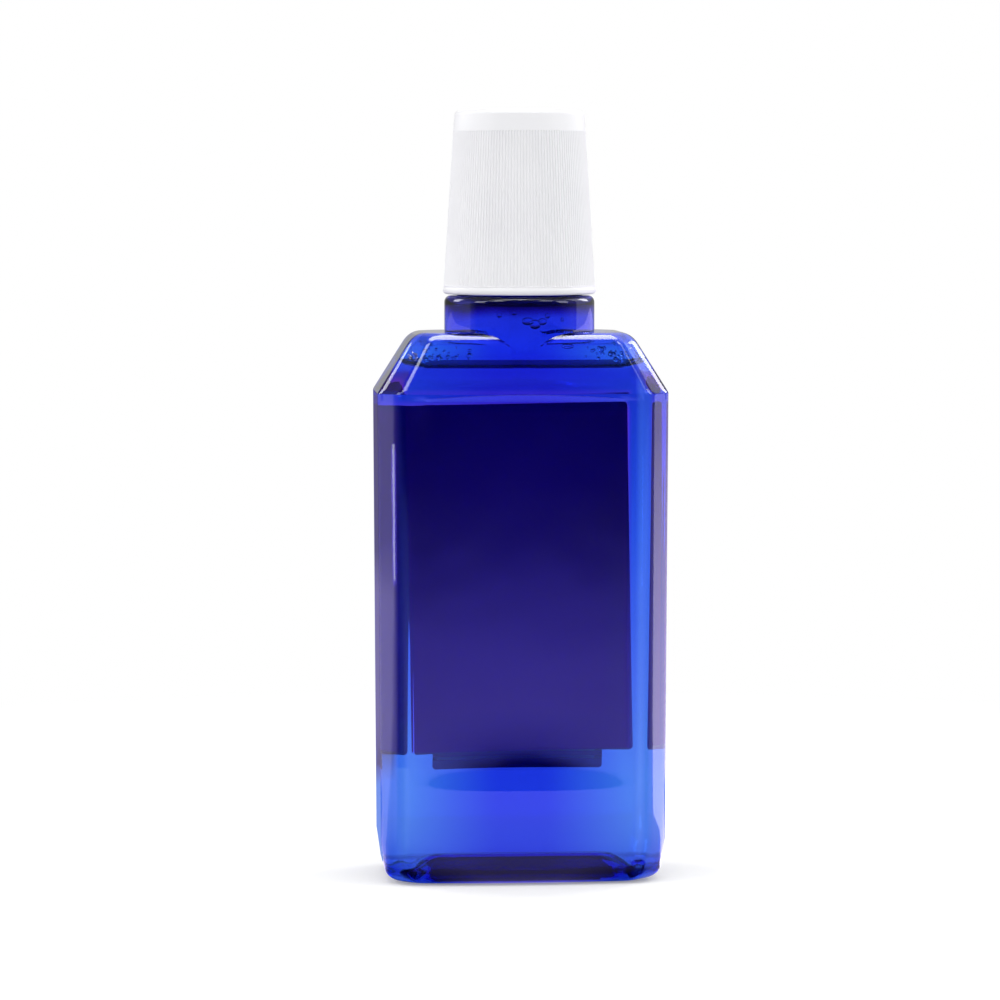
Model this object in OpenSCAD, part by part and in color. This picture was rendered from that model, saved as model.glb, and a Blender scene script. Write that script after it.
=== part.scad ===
// Mouthwash bottle: a blown, chamfered rectangular bottle with a screw neck, its fill, its dosing-cup cap with a
// foam liner, a main label and a lower sticker on the back. Millimetres, +Z up, origin at the middle of the base,
// the bare label panel faces -Y and the labelled one +Y.

/* [Body] */
// Width of the body at the shoulder corner
body_w = 66; // [60:0.5:76]
// Depth of the body over the crowns of its bowed faces
body_d = 39; // [38:0.5:48]
// Narrowing of the width from the shoulder corner down to the base
body_draft = 1.2; // [0:0.1:2]
// Height of the shoulder corner
corner_h = 111.4; // [95:0.5:130]
// Width of each corner chamfer, measured along a face
chamfer = 5.2; // [4:0.1:6.5]
// Radius on the long edges of the chamfers
edge_r = 3.2; // [1:0.1:3.4]
// Radius of the bow of the front and back faces
bow_r = 260; // [220:5:400]
// Wall of the blown body
wall = 0.8; // [0.7:0.05:1.1]

/* [Base] */
// Wall of the base
base_wall = 1.2; // [0.9:0.05:1.6]
// Height at which the walls start to draw in towards the heel
heel_h = 9.5; // [7:0.25:14]
// How far the walls draw in above the heel
heel_taper = 1; // [0.5:0.1:1.5]
// Radius of the heel
heel_r = 4; // [2.5:0.1:5]
// Width of the ring that the bottle stands on
stand_w = 1.9; // [1.5:0.1:3.5]
// Height of the push-up
push_h = 4.5; // [2:0.25:5.5]
// Length over which the push-up rises from the standing ring
push_run = 5; // [3:0.25:6]

/* [Shoulder] */
// Height of the shoulder above its corner
shoulder_h = 13.5; // [11:0.25:17]
// Width of the flat top, to the edge before rounding
top_w = 49.2; // [46:0.2:54]
// Depth of the flat top, to the edge before rounding
top_d = 32.4; // [30:0.2:34]
// How far the rounding of the top edge reaches each way
top_round = 2.6; // [1.5:0.1:3.2]
// How far the rounding of the shoulder corner reaches each way
corner_round = 0.7; // [0.3:0.1:1.2]

/* [Label panels] */
// Strip of bowed face between each flat panel and the chamfer beside it
panel_margin = 2.4; // [2:0.1:5]
// Height of the lower end of the flat panel
panel_low_h = 26.3; // [20:0.1:32]
// Height of the sloped ledge below the panel
low_ledge_h = 4.1; // [3:0.1:6]
// Height of the sloped ledge above the panel
high_ledge_h = 1.6; // [1.5:0.1:3.5]
// Gap from the upper ledge to the shoulder corner
ledge_to_corner = 0.2; // [0:0.1:3]

/* [Labels] */
// How far the main label reaches past each side of the flat panel, out over the bow
label_over = 0.1; // [0:0.05:0.3]
// How far the labels sit to the +X side of the middle
label_shift = 0.9; // [0:0.1:1]
// Turn of the main label in its plane, in degrees
label_tilt = 0.5; // [0:0.1:0.8]
// Gap from the panel's lower end to the label
label_up = 1.6; // [0.5:0.1:2]
// Gap from the label to the panel's upper end
label_down = 1; // [0.5:0.1:20]
// Radius of the label's corners
label_corner_r = 1.8; // [1:0.1:4]
// Thickness of the label
label_t = 0.12; // [0.08:0.01:0.2]
// Width of the lower sticker
sticker_w = 39.8; // [24:0.2:41]
// Height of the lower sticker above the panel's lower end
sticker_h = 14; // [8:0.25:24]
// How far the sticker reaches down over the ledge
sticker_drop = 3; // [1:0.1:3.5]
// Thickness of the sticker
sticker_t = 0.1; // [0.08:0.01:0.2]

/* [Collar and neck] */
// Diameter of the collar
collar_d = 34.3; // [33.8:0.1:35]
// Height of the collar above the shoulder's flat top
collar_h = 8.2; // [6:0.1:9]
// Radius on the collar's upper edge
collar_round = 1.5; // [0.8:0.1:1.6]
// Outer diameter of the neck at the root of its thread
neck_d = 27.8; // [27:0.1:28.4]
// Wall of the neck
neck_wall = 1.4; // [1.2:0.05:1.7]
// Height of the neck above the collar
neck_h = 15.7; // [15:0.1:20]
// Rounding of the neck's lip
lip_r = 0.4; // [0.2:0.05:0.5]

/* [Thread] */
// Rise of the thread in one turn
thread_lead = 4.2; // [3.6:0.1:4.8]
// Height of the neck's thread above its root
thread_depth = 1; // [0.8:0.05:1.1]
// Width of the neck's thread at its root
neck_thread_root_w = 2.2; // [1.8:0.1:2.3]
// Width of the neck's thread at its crest
neck_thread_crest_w = 1; // [0.8:0.1:1.2]
// Width of the cap's thread at its root
cap_thread_root_w = 1.6; // [1.2:0.1:1.7]
// Width of the cap's thread at its crest
cap_thread_crest_w = 0.8; // [0.5:0.1:1]
// Turns of the neck's thread
neck_turns = 1.5; // [1:0.25:1.5]
// Turns of the cap's thread
cap_turns = 1.25; // [1:0.25:1.25]
// Distance from the lip to the middle of the thread's upper end
thread_down = 2.8; // [2.4:0.1:3.2]
// Radial gap between each thread's crest and the other's root
thread_radial_gap = 0.3; // [0.2:0.05:0.35]
// Gap along the axis between the two threads where they bear
thread_gap = 0.2; // [0.15:0.05:0.3]

/* [Cap] */
// Height of the cap
cap_h = 41.6; // [40:0.2:46]
// Gap between the collar and the rim of the cap
cap_gap = 0.3; // [0.2:0.1:2]
// Diameter of the rim
rim_d = 35; // [34.8:0.1:36]
// Height of the plain rim
rim_h = 1.9; // [1.4:0.1:3]
// Diameter over the ribs just above the rim
skirt_d = 34.6; // [34.4:0.1:35.2]
// Diameter at the top, before its edge is rounded
cap_top_d = 29.6; // [29.4:0.1:32]
// Height of the plain band at the top
plain_h = 4.6; // [3:0.1:7]
// Radius of the cap's top edge
cap_edge_r = 1; // [0.5:0.1:1.5]
// Number of ribs
rib_count = 144; // [96:12:156]
// Depth of the grooves between ribs
rib_depth = 0.22; // [0.15:0.01:0.25]
// Thickness of the cap's top
cap_top_t = 1.5; // [1.2:0.1:2]
// Width of the ledge that backs the liner
ledge_w = 2.4; // [2:0.1:2.6]
// Narrowing of the cup's inside radius up to its top
cup_draft = 0.3; // [0.1:0.05:0.5]
// Radius in the corner of the cup
cup_corner_r = 1; // [0.5:0.1:1.5]

/* [Liner] */
// Thickness of the foam liner
liner_t = 1; // [0.8:0.1:1.3]
// Gap between the liner's edge and the cap
liner_gap = 0.3; // [0.2:0.05:0.4]

/* [Fill] */
// Depth of the liquid's surface below the shoulder's flat top
fill_down = 8.3; // [6:0.1:12]
// Gap that keeps the liquid's solid off the wall
fill_gap = 0.05; // [0.04:0.01:0.1]

/* [Hidden] */
$fn = 96;

// Overrun of every cut, and of every solid that ends inside another
over = 0.5;
bottle_blue = [0.05, 0.16, 0.85, 0.55];
liquid_tint = [0.55, 0.75, 1, 0.5];

// Steps in the shapes: half a face, an edge fillet, a heel or push-up curve, a ledge, a rounded shoulder edge
face_steps = 7;
fillet_steps = 3;
curve_steps = 4;
ledge_steps = 4;
bend_steps = 4;
// Steps in one turn of a thread, and those over which its ends run out
turn_steps = 36;
fade_steps = 6;
// Angle of one step in a turned round or a label's corner
round_step = 15;

// Half sizes of the body at the corner, at the base and at the flat top, and how far a chamfer shortens when the
// outline is drawn in by one unit
corner_a = body_w / 2;
base_a = corner_a - body_draft / 2;
body_b = body_d / 2;
top_a = top_w / 2;
top_b = top_d / 2;
top_chamfer = chamfer * top_a / corner_a;
chamfer_loss = 2 - sqrt(2);
panel_w = body_w - 2 * (chamfer + panel_margin);
label_w = panel_w + 2 * label_over;

// Heights up the bottle
shoulder_z = corner_h + shoulder_h;
panel_depth = sag(panel_w / 2);
panel_high_h = corner_h - ledge_to_corner - high_ledge_h;
fill_z = shoulder_z - fill_down;
collar_r = collar_d / 2;
collar_top = shoulder_z + collar_h;
neck_r = neck_d / 2;
bore_r = neck_r - neck_wall;
collar_in_r = collar_r - wall;
lip_z = collar_top + neck_h;
// The collar starts this far up the slope of the shoulder, inside its walls, and the space in it starts there too
collar_foot_share = 0.25;
collar_cavity_share = 0.5;
collar_foot_z = corner_h + shoulder_h * collar_foot_share;
collar_cavity_z = corner_h + shoulder_h * collar_cavity_share;

// Radii and places of the threads
neck_crest_r = neck_r + thread_depth;
cap_root_r = neck_crest_r + thread_radial_gap;
cap_crest_r = neck_r + thread_radial_gap;
thread_low_z = lip_z - thread_down - thread_lead * neck_turns;
neck_thread_w_at_cap = neck_thread_root_w
    - (neck_thread_root_w - neck_thread_crest_w) * thread_radial_gap / thread_depth;
thread_shift = (cap_thread_crest_w + neck_thread_w_at_cap) / 2 + thread_gap;
// The cap's thread starts this part of a turn before the neck's
cap_thread_lead_share = 0.25;
// Part of the pitch of the ribs that a groove takes at the surface
groove_share = 0.6;

// Heights and radii of the cap
cap_z = collar_top + cap_gap;
cap_top_z = cap_z + cap_h;
skirt_z = cap_z + rim_h;
plain_z = cap_top_z - plain_h;
liner_z = lip_z;
ledge_z = liner_z + liner_t;
cup_r = cap_root_r - ledge_w;
cup_top_r = cup_r - cup_draft;
cup_top_z = cap_top_z - cap_top_t;

// Where the labels lie
panel_y = body_b - panel_depth;
label_z = panel_low_h + label_up;
label_h = panel_high_h - label_down - label_z;

// How far a bowed face has fallen back at a distance from its middle
function sag(x) = x * x / (2 * bow_r);

function mix(p, q, t) = p * (1 - t) + q * t;

// The middle of a bend from p to r whose corner is q
function bend(p, q, r, t) = mix(mix(p, q, t), mix(q, r, t), t);

// An arc of radius r that rounds the corner p between the directions to a and b
function fillet(a, p, b, r) =
    let (u = (a - p) / norm(a - p), v = (b - p) / norm(b - p),
         half = acos(u * v) / 2, centre = p + (u + v) / norm(u + v) * r / sin(half),
         s = p + u * r / tan(half) - centre, e = p + v * r / tan(half) - centre,
         swing = 180 - 2 * half)
    [for (i = [0:fillet_steps])
        centre + (s * sin(swing * (1 - i / fillet_steps)) + e * sin(swing * i / fillet_steps)) / sin(swing)];

// A quarter of the outline, from the middle of a face to the side. a and b are half sizes and c the chamfer, and
// cut is how far a flat panel lies behind the crown of the bow.
function quarter(a, b, c, cut) =
    let (p = [a - c, b - sag(a - c)], q = [a, b - sag(a - c) - c],
         first = fillet(p + [-bow_r, a - c], p, q, edge_r), second = fillet(p, q, [a, 0], edge_r),
         face = [for (i = [0:face_steps - 1]) first[0].x * i / face_steps])
    [for (x = face) [x, min(b - sag(x), b - cut)], each first, each second];

// One level ring of the body from a station [a, b, c, cut, z]
function ring(s) =
    let (q = quarter(s[0], s[1], s[2], s[3]), n = len(q))
    [each [for (p = q) [p.x, p.y, s[4]]],
     each [for (i = [n - 1:-1:0]) [q[i].x, -q[i].y, s[4]]],
     each [for (i = [1:n - 1]) [-q[i].x, -q[i].y, s[4]]],
     each [for (i = [n - 1:-1:1]) [-q[i].x, q[i].y, s[4]]]];

// A station whose outline is drawn in by d from half sizes a and b
function station(a, b, c, d, cut, z) = [a - d, b - d, max(c - chamfer_loss * d, edge_r), cut, z];

// Stations of the push-up and heel: in is the wall that the surface lies behind, up the wall of the base
function base_stations(in, up) =
    [for (i = [curve_steps:-1:0])
        let (t = i / curve_steps)
        station(base_a, body_b, chamfer, heel_taper + heel_r + stand_w + push_run * t - in, 0,
                up + push_h * (1 - cos(180 * t)) / 2),
     for (i = [curve_steps:-1:0])
        let (t = 90 * i / curve_steps)
        station(base_a, body_b, chamfer, heel_taper + heel_r * (1 - cos(t)) + in, 0, up + heel_r * (1 - sin(t)))];

// Half width of the straight part of the body at a height
function half_width(z) = mix(base_a, corner_a, z / corner_h);

// Stations of the straight walls, with the ledges of the label panels
function wall_stations(in) =
    [station(half_width(heel_h), body_b, chamfer, in, 0, heel_h),
     for (i = [0:ledge_steps])
        let (t = i / ledge_steps, z = panel_low_h - low_ledge_h * (1 - t))
        station(half_width(z), body_b, chamfer, in, panel_depth * t, z),
     for (i = [0:ledge_steps])
        let (t = i / ledge_steps, z = panel_high_h + high_ledge_h * t)
        station(half_width(z), body_b, chamfer, in, panel_depth * (1 - t), z)];

// The slope of the shoulder from its corner to its flat top, and the edge of that top
function slope_low(in) = station(corner_a, body_b, chamfer, in, 0, corner_h);
function slope_high(in, down) = station(top_a, top_b, top_chamfer, in, 0, shoulder_z - down);
function top_inner(in, down) = station(top_a, top_b, top_chamfer, in + top_round, 0, shoulder_z - down);

// Stations of the shoulder, with both bends rounded
function shoulder_stations(in, down) =
    let (low = slope_low(in), high = slope_high(in, down), inner = top_inner(in, down),
         under = station(corner_a, body_b, chamfer, in, 0, corner_h - corner_round + ledge_to_corner),
         past = mix(low, high, corner_round / shoulder_h), near = mix(high, low, top_round / shoulder_h))
    [for (i = [1:2]) bend(under, low, past, i / 2),
     for (i = [0:bend_steps]) bend(near, high, inner, i / bend_steps)];

// The body of the bottle, or of the space in it, as a list of stations from the base up
function body_stations(in, up, down) =
    concat(base_stations(in, up), wall_stations(in), shoulder_stations(in, down));

// Closes a stack of rings, each with the same number of points, into a solid
module skin(rings) {
    n = len(rings[0]);
    last = len(rings) - 1;
    sides = [for (j = [0:last - 1], i = [0:n - 1])
        let (k = (i + 1) % n, low = j * n, high = low + n)
        each [[low + i, high + k, high + i], [low + i, low + k, high + k]]];
    ends = [for (i = [1:n - 2]) each [[0, i + 1, i], [last * n, last * n + i, last * n + i + 1]]];
    polyhedron(points = [for (r = rings) each r], faces = concat(sides, ends));
}

// A helical thread of trapezoid section, between the radii base_r and crest_r, from the height z up
module thread(base_r, root_r, crest_r, root_w, crest_w, turns, z, start) {
    steps = round(turns * turn_steps);
    points = [for (i = [0:steps])
        let (turn = i / turn_steps, a = 360 * turn + start, mid = z + thread_lead * turn,
             grow = min(i, steps - i, fade_steps) / fade_steps,
             reach = mix(mix(base_r, root_r, 1 / 2), crest_r, grow))
        each [for (p = [[base_r, -root_w / 2], [reach, -crest_w / 2], [reach, crest_w / 2], [base_r, root_w / 2]])
            [p.x * cos(a), p.x * sin(a), mid + p.y]]];
    sides = [for (i = [0:steps - 1], j = [0:3])
        let (k = (j + 1) % 4, near = 4 * i, far = near + 4)
        each [[near + j, near + k, far + k], [near + j, far + k, far + j]]];
    end = 4 * steps;
    ends = [[0, 2, 1], [0, 3, 2], [end, end + 1, end + 2], [end, end + 2, end + 3]];
    flip = crest_r < base_r;
    polyhedron(points = points, faces = [for (f = concat(sides, ends)) flip ? [f[2], f[1], f[0]] : f]);
}

// A quarter round from the height z up, centred at radius r - round, as points of a turned profile
function round_up(r, z, round) =
    [for (a = [0:round_step:90]) [r - round * (1 - cos(a)), z - round * (1 - sin(a))]];

// The collar and neck as a turned solid, from inside the shoulder up
module neck_outside() {
    rotate_extrude()
        polygon([[0, collar_foot_z], [collar_r, collar_foot_z],
                 each round_up(collar_r, collar_top, collar_round),
                 [neck_r, collar_top],
                 each round_up(neck_r, lip_z, lip_r),
                 [0, lip_z]]);
}

// The space inside the collar and neck
module neck_inside() {
    rotate_extrude()
        polygon([[0, collar_cavity_z], [collar_in_r, collar_cavity_z],
                 each round_up(collar_in_r, collar_top - wall, collar_round),
                 [bore_r, collar_top - wall], [bore_r, lip_z + over], [0, lip_z + over]]);
}

module bottle() {
    color(bottle_blue)
        union() {
            difference() {
                union() {
                    skin([for (s = body_stations(0, 0, 0)) ring(s)]);
                    neck_outside();
                }
                skin([for (s = body_stations(wall, base_wall, wall)) ring(s)]);
                neck_inside();
            }
            thread(neck_r - neck_wall / 2, neck_r, neck_crest_r, neck_thread_root_w, neck_thread_crest_w,
                   neck_turns, thread_low_z, 0);
        }
}

// The liquid follows the inside of the walls up to its level
module mouthwash() {
    in = wall + fill_gap;
    low = slope_low(in);
    high = slope_high(in, wall);
    level = mix(low, high, (fill_z - low[4]) / (high[4] - low[4]));
    below = [for (s = body_stations(in, base_wall + fill_gap, wall)) if (s[4] < corner_h + corner_round) s];
    color(liquid_tint)
        skin([for (s = concat(below, [level])) ring(s)]);
}

// The outline of a label, w wide and h high, about the origin
function label_outline(w, h, r) =
    [for (c = [[w / 2 - r, h / 2 - r, 0], [r - w / 2, h / 2 - r, 90], [r - w / 2, r - h / 2, 180],
               [w / 2 - r, r - h / 2, 270]],
          a = [0:round_step:90])
        [c.x + r * cos(c.z + a), c.y + r * sin(c.z + a)]];

module main_label() {
    color("midnightblue")
        translate([label_shift, panel_y + label_t, label_z + label_h / 2])
            rotate([90, -label_tilt, 0])
                linear_extrude(height = label_t)
                    polygon(label_outline(label_w, label_h, label_corner_r));
}

// The sticker steps from the label down to the panel and runs out over the ledge
module lower_sticker() {
    slope = panel_depth / low_ledge_h;
    foot_z = panel_low_h - sticker_drop;
    foot_y = panel_y + slope * sticker_drop;
    top_z = panel_low_h + sticker_h;
    over_label = panel_y + label_t;
    // The label's lower edge, askew, dips to here at its end
    step_z = label_z - label_w / 2 * tan(label_tilt);
    color("slateblue")
        translate([label_shift - sticker_w / 2, 0, 0])
            rotate([90, 0, 90])
                linear_extrude(height = sticker_w)
                    polygon([[foot_y, foot_z], [foot_y + sticker_t, foot_z],
                             [panel_y + sticker_t, panel_low_h], [panel_y + sticker_t, step_z - label_t],
                             [over_label + sticker_t, step_z], [over_label + sticker_t, top_z],
                             [over_label, top_z], [over_label, step_z],
                             [panel_y, step_z], [panel_y, panel_low_h]]);
}

module cap_liner() {
    color("whitesmoke")
        difference() {
            translate([0, 0, liner_z])
                cylinder(r = cap_root_r - liner_gap, h = liner_t);
            translate([0, 0, liner_z - over])
                cylinder(r = cup_r + liner_gap / 2, h = liner_t + 2 * over);
        }
}

// Radius of the cap's tapered outside at a height
function cap_r(z) = mix(skirt_d, cap_top_d, (z - skirt_z) / (cap_top_z - skirt_z)) / 2;

// The grooves between the ribs: wedges whose inner edge follows the tapered outside
module grooves() {
    pitch = 360 / rib_count;
    half = pitch * groove_share / 2;
    points = [for (i = [0:rib_count - 1], z = [skirt_z, plain_z])
        let (a = pitch * i, deep = cap_r(z) - rib_depth, out = cap_r(z) + rib_depth)
        for (p = [[deep, a], [out, a + 2 * half], [out, a - 2 * half]])
            [p[0] * cos(p[1]), p[0] * sin(p[1]), z]];
    faces = [for (i = [0:rib_count - 1])
        let (n = 6 * i)
        each [[n, n + 2, n + 1], [n + 3, n + 4, n + 5], [n, n + 1, n + 4], [n, n + 4, n + 3],
              [n + 1, n + 2, n + 5], [n + 1, n + 5, n + 4], [n + 2, n, n + 3], [n + 2, n + 3, n + 5]]];
    polyhedron(points = points, faces = faces);
}

module cap_outside() {
    rim_r = rim_d / 2;
    rim_round = rim_h / 2;
    rotate_extrude()
        polygon([[0, cap_z],
                 each [for (a = [-90:round_step:90])
                     [rim_r - rim_round * (1 - cos(a)), cap_z + rim_round * (1 + sin(a))]],
                 [cap_r(skirt_z), skirt_z],
                 each round_up(cap_r(cap_top_z), cap_top_z, cap_edge_r), [0, cap_top_z]]);
}

// The threaded mouth, the ledge behind the liner and the cup above it
module cap_inside() {
    rotate_extrude()
        polygon([[0, cap_z - over], [cap_root_r, cap_z - over], [cap_root_r, ledge_z], [cup_r, ledge_z],
                 each round_up(cup_top_r, cup_top_z, cup_corner_r), [0, cup_top_z]]);
}

module cap() {
    embed = thread_radial_gap;
    color("white")
        union() {
            difference() {
                cap_outside();
                cap_inside();
                grooves();
            }
            thread(cap_root_r + embed, cap_root_r, cap_crest_r, cap_thread_root_w, cap_thread_crest_w, cap_turns,
                   thread_low_z - thread_shift - thread_lead * cap_thread_lead_share, -360 * cap_thread_lead_share);
        }
}

bottle();
mouthwash();
main_label();
lower_sticker();
cap_liner();
cap();
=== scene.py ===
"""A filled mouthwash bottle: clear blue shell, liquid, ribbed dosing cap with its liner, label and lower sticker.

Metres, +Z up, the bottle stands on z = 0 and the bare panel faces -Y.
"""

import math

import bmesh
import bpy
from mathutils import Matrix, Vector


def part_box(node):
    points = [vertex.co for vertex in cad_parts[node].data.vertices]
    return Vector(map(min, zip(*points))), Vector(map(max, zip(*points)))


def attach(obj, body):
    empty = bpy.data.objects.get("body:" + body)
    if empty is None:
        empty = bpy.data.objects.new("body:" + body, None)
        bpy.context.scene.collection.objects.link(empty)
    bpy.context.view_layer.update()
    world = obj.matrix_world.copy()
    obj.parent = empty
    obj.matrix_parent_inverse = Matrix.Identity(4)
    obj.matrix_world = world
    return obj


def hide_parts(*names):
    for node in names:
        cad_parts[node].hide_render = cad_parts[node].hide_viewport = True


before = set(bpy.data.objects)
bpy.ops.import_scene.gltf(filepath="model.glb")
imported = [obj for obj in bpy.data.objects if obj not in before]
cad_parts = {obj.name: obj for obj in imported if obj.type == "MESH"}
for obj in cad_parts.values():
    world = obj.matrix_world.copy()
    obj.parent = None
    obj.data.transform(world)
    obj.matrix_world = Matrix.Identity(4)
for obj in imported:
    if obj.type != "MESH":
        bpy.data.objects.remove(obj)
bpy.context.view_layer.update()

MM = 0.001

# Heights and half sizes of the body, in millimetres
CORNER_HALF = (33.0, 19.5)
BASE_HALF = (32.4, 19.5)
TOP_HALF = (24.6, 16.2)
CHAMFER, CHAMFER_FACETS, CHAMFER_CROWN = 5.2, 3, 0.285
EDGE_SOFT, EDGE_FACETS, EDGE_FULLNESS = 1.8, 12, 0.62
COLUMNS = 24
BOW_R = 260.0
WALL = 0.8
BASE_WALL = 1.2
HEEL_H = 9.5
HEEL_TAPER = 0.8
HEEL_R = 3.6
HEEL_REACH = 4.6
STAND_W = 1.0
PUSH_H = 4.5
PUSH_RUN_X, PUSH_RUN_Y = 8.0, 12.0
CORNER_H = 111.4
CORNER_ROUND = 0.9
SHOULDER_H = 13.5
TOP_ROUND = 2.6
PANEL_Y = 18.26
PANEL_DEPTH = 1.24
PANEL_LOW, PANEL_HIGH = 26.3, 109.6
PANEL_REACH = 27
LEDGE_LOW, LEDGE_HIGH = 4.1, 1.6
WALL_RINGS = (16, PANEL_LOW - LEDGE_LOW - 0.6, PANEL_LOW, 40, 54, 68, 82, 96)
FILL_H = 116.6

LABEL_X, LABEL_W, LABEL_H, LABEL_LOW = 0.93, 50.94, 81.2, 26.7
LABEL_TILT = 0.9
LABEL_LEAN = math.tan(math.radians(LABEL_TILT))
LABEL_CORNER = 1.0
STICKER_X, STICKER_W = 0.3, 39.4
STICKER_THICK, STICKER_CORNER = 0.1, 0.9
STICKER_DROP = 0.8

# The collar, the neck and its thread
COLLAR_R, COLLAR_TOP, COLLAR_ROUND = 17.15, 133.1, 1.5
COLLAR_FOOT, COLLAR_STRAIGHT, COLLAR_SPACE_LOW = 114.8, 126.0, 118.15
COLLAR_FILLET, COLLAR_CREASE, COLLAR_CREASE_TOP = 0.7, math.radians(30), 125.2
NECK_R, BORE_R, LIP_H, LIP_R = 13.9, 12.5, 148.8, 0.4
NECK_FILLET = 0.5
THREAD_LEAD, THREAD_TURNS, THREAD_LOW = 4.2, 1.5, 139.7
THREAD_SUNK, THREAD_DEPTH = 0.7, 1.0
THREAD_ROOT_W, THREAD_CREST_W = 2.2, 1.0

# The cap: outside, then inside, then its thread and its liner
CAP_LOW, CAP_TOP = 133.4, 175.0
CAP_RIM_R, CAP_RIM_H = 17.5, 1.9
SKIRT_R, CROWN_R, CROWN_ROUND = 17.3, 14.8, 1.0
PLAIN_LOW = 170.4
RIBS = 144
RIB_DEPTH = 0.17
CAP_MIDDLE_R = 3
CAP_INSIDE_R, CAP_MOUTH_R = 15.2, 15.45
CUP_R, CUP_TOP_R, CUP_LOW, CUP_TOP, CUP_ROUND = 12.8, 12.55, 149.8, 173.5, 1.0
CAP_THREAD_R, CAP_CREST_R = 15.5, 14.2
CAP_ROOT_W, CAP_CREST_W, CAP_TURNS = 1.6, 0.8, 1.25
CAP_THREAD_LOW = THREAD_LOW - 1.62 - 1.05
LINER_BORE_R, LINER_ROUND = 12.95, 0.12

SIDES = 144
SHARP_SHELL, SHARP_CAP, SHARP_SHEET = 20, 28, 30


# ---------------------------------------------------------------- modelling by operators

def leave_edit():
    if bpy.context.object and bpy.context.object.mode == "EDIT":
        bpy.ops.object.mode_set(mode="OBJECT")
    bpy.ops.object.select_all(action="DESELECT")


def begin(name):
    """Takes the primitive that was just added into edit mode, with its place in its mesh."""
    piece = bpy.context.object
    piece.name = piece.data.name = name
    bpy.ops.object.transform_apply(location=True, rotation=True, scale=True)
    bpy.ops.object.mode_set(mode="EDIT")
    return piece


def reopen(piece):
    leave_edit()
    piece.select_set(True)
    bpy.context.view_layer.objects.active = piece
    bpy.ops.object.mode_set(mode="EDIT")


def pick(kind, test):
    """Selects the vertices, edges or faces that pass a test on their middle in millimetres, and counts them."""
    piece = bpy.context.object
    bpy.ops.mesh.select_mode(type=kind)
    bpy.ops.mesh.select_all(action="DESELECT")
    mesh = bmesh.from_edit_mesh(piece.data)
    group = {"VERT": mesh.verts, "EDGE": mesh.edges, "FACE": mesh.faces}[kind]
    count = 0
    for item in group:
        if kind == "VERT":
            middle = item.co
        elif kind == "EDGE":
            middle = (item.verts[0].co + item.verts[1].co) / 2
        else:
            middle = item.calc_center_median()
        if test(middle / MM):
            item.select_set(True)
            count += 1
    mesh.select_flush_mode()
    bmesh.update_edit_mesh(piece.data)
    return count


def shift(x=0.0, y=0.0, z=0.0):
    bpy.ops.transform.translate(value=(x * MM, y * MM, z * MM))


def scale(x=1.0, y=1.0, z=1.0, about=(0.0, 0.0, 0.0)):
    bpy.ops.transform.resize(value=(x, y, z), center_override=tuple(c * MM for c in about))


def pull_up(stations):
    """Draws the selected end face through rings (half width, half depth, height), each from the one before."""
    for (a0, b0, z0), (a1, b1, z1) in zip(stations, stations[1:]):
        bpy.ops.mesh.extrude_region_move(TRANSFORM_OT_translate={"value": (0, 0, (z1 - z0) * MM)})
        if a1 != a0 or b1 != b0:
            scale(a1 / a0, b1 / b0, 1)


def face_outwards():
    bpy.ops.mesh.select_all(action="SELECT")
    bpy.ops.mesh.remove_doubles(threshold=1e-6)
    bpy.ops.mesh.normals_make_consistent(inside=False)


def apply_modifier(piece, kind, **settings):
    leave_edit()
    piece.select_set(True)
    bpy.context.view_layer.objects.active = piece
    made = piece.modifiers.new(kind.lower(), kind)
    for key, value in settings.items():
        setattr(made, key, value)
    bpy.ops.object.modifier_apply(modifier=made.name)


def combine(piece, other, operation):
    """Joins, cuts or keeps the common part of two closed pieces, and removes the second."""
    apply_modifier(piece, "BOOLEAN", operation=operation, object=other, solver="EXACT")
    bpy.data.objects.remove(other)


def smooth(piece, degrees):
    leave_edit()
    piece.select_set(True)
    bpy.context.view_layer.objects.active = piece
    bpy.ops.object.shade_smooth_by_angle(angle=math.radians(degrees))


def even_normals(piece):
    apply_modifier(piece, "WEIGHTED_NORMAL", mode="FACE_AREA", weight=50, keep_sharp=True)


def arc(r, z, radius, steps):
    """Rings of a quarter round that ends at height z and radius r - radius."""
    turns = [math.pi / 2 * i / steps for i in range(steps + 1)]
    return [(r - radius * (1 - math.cos(t)),) * 2 + (z - radius * (1 - math.sin(t)),) for t in turns]


# ---------------------------------------------------------------- body

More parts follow.
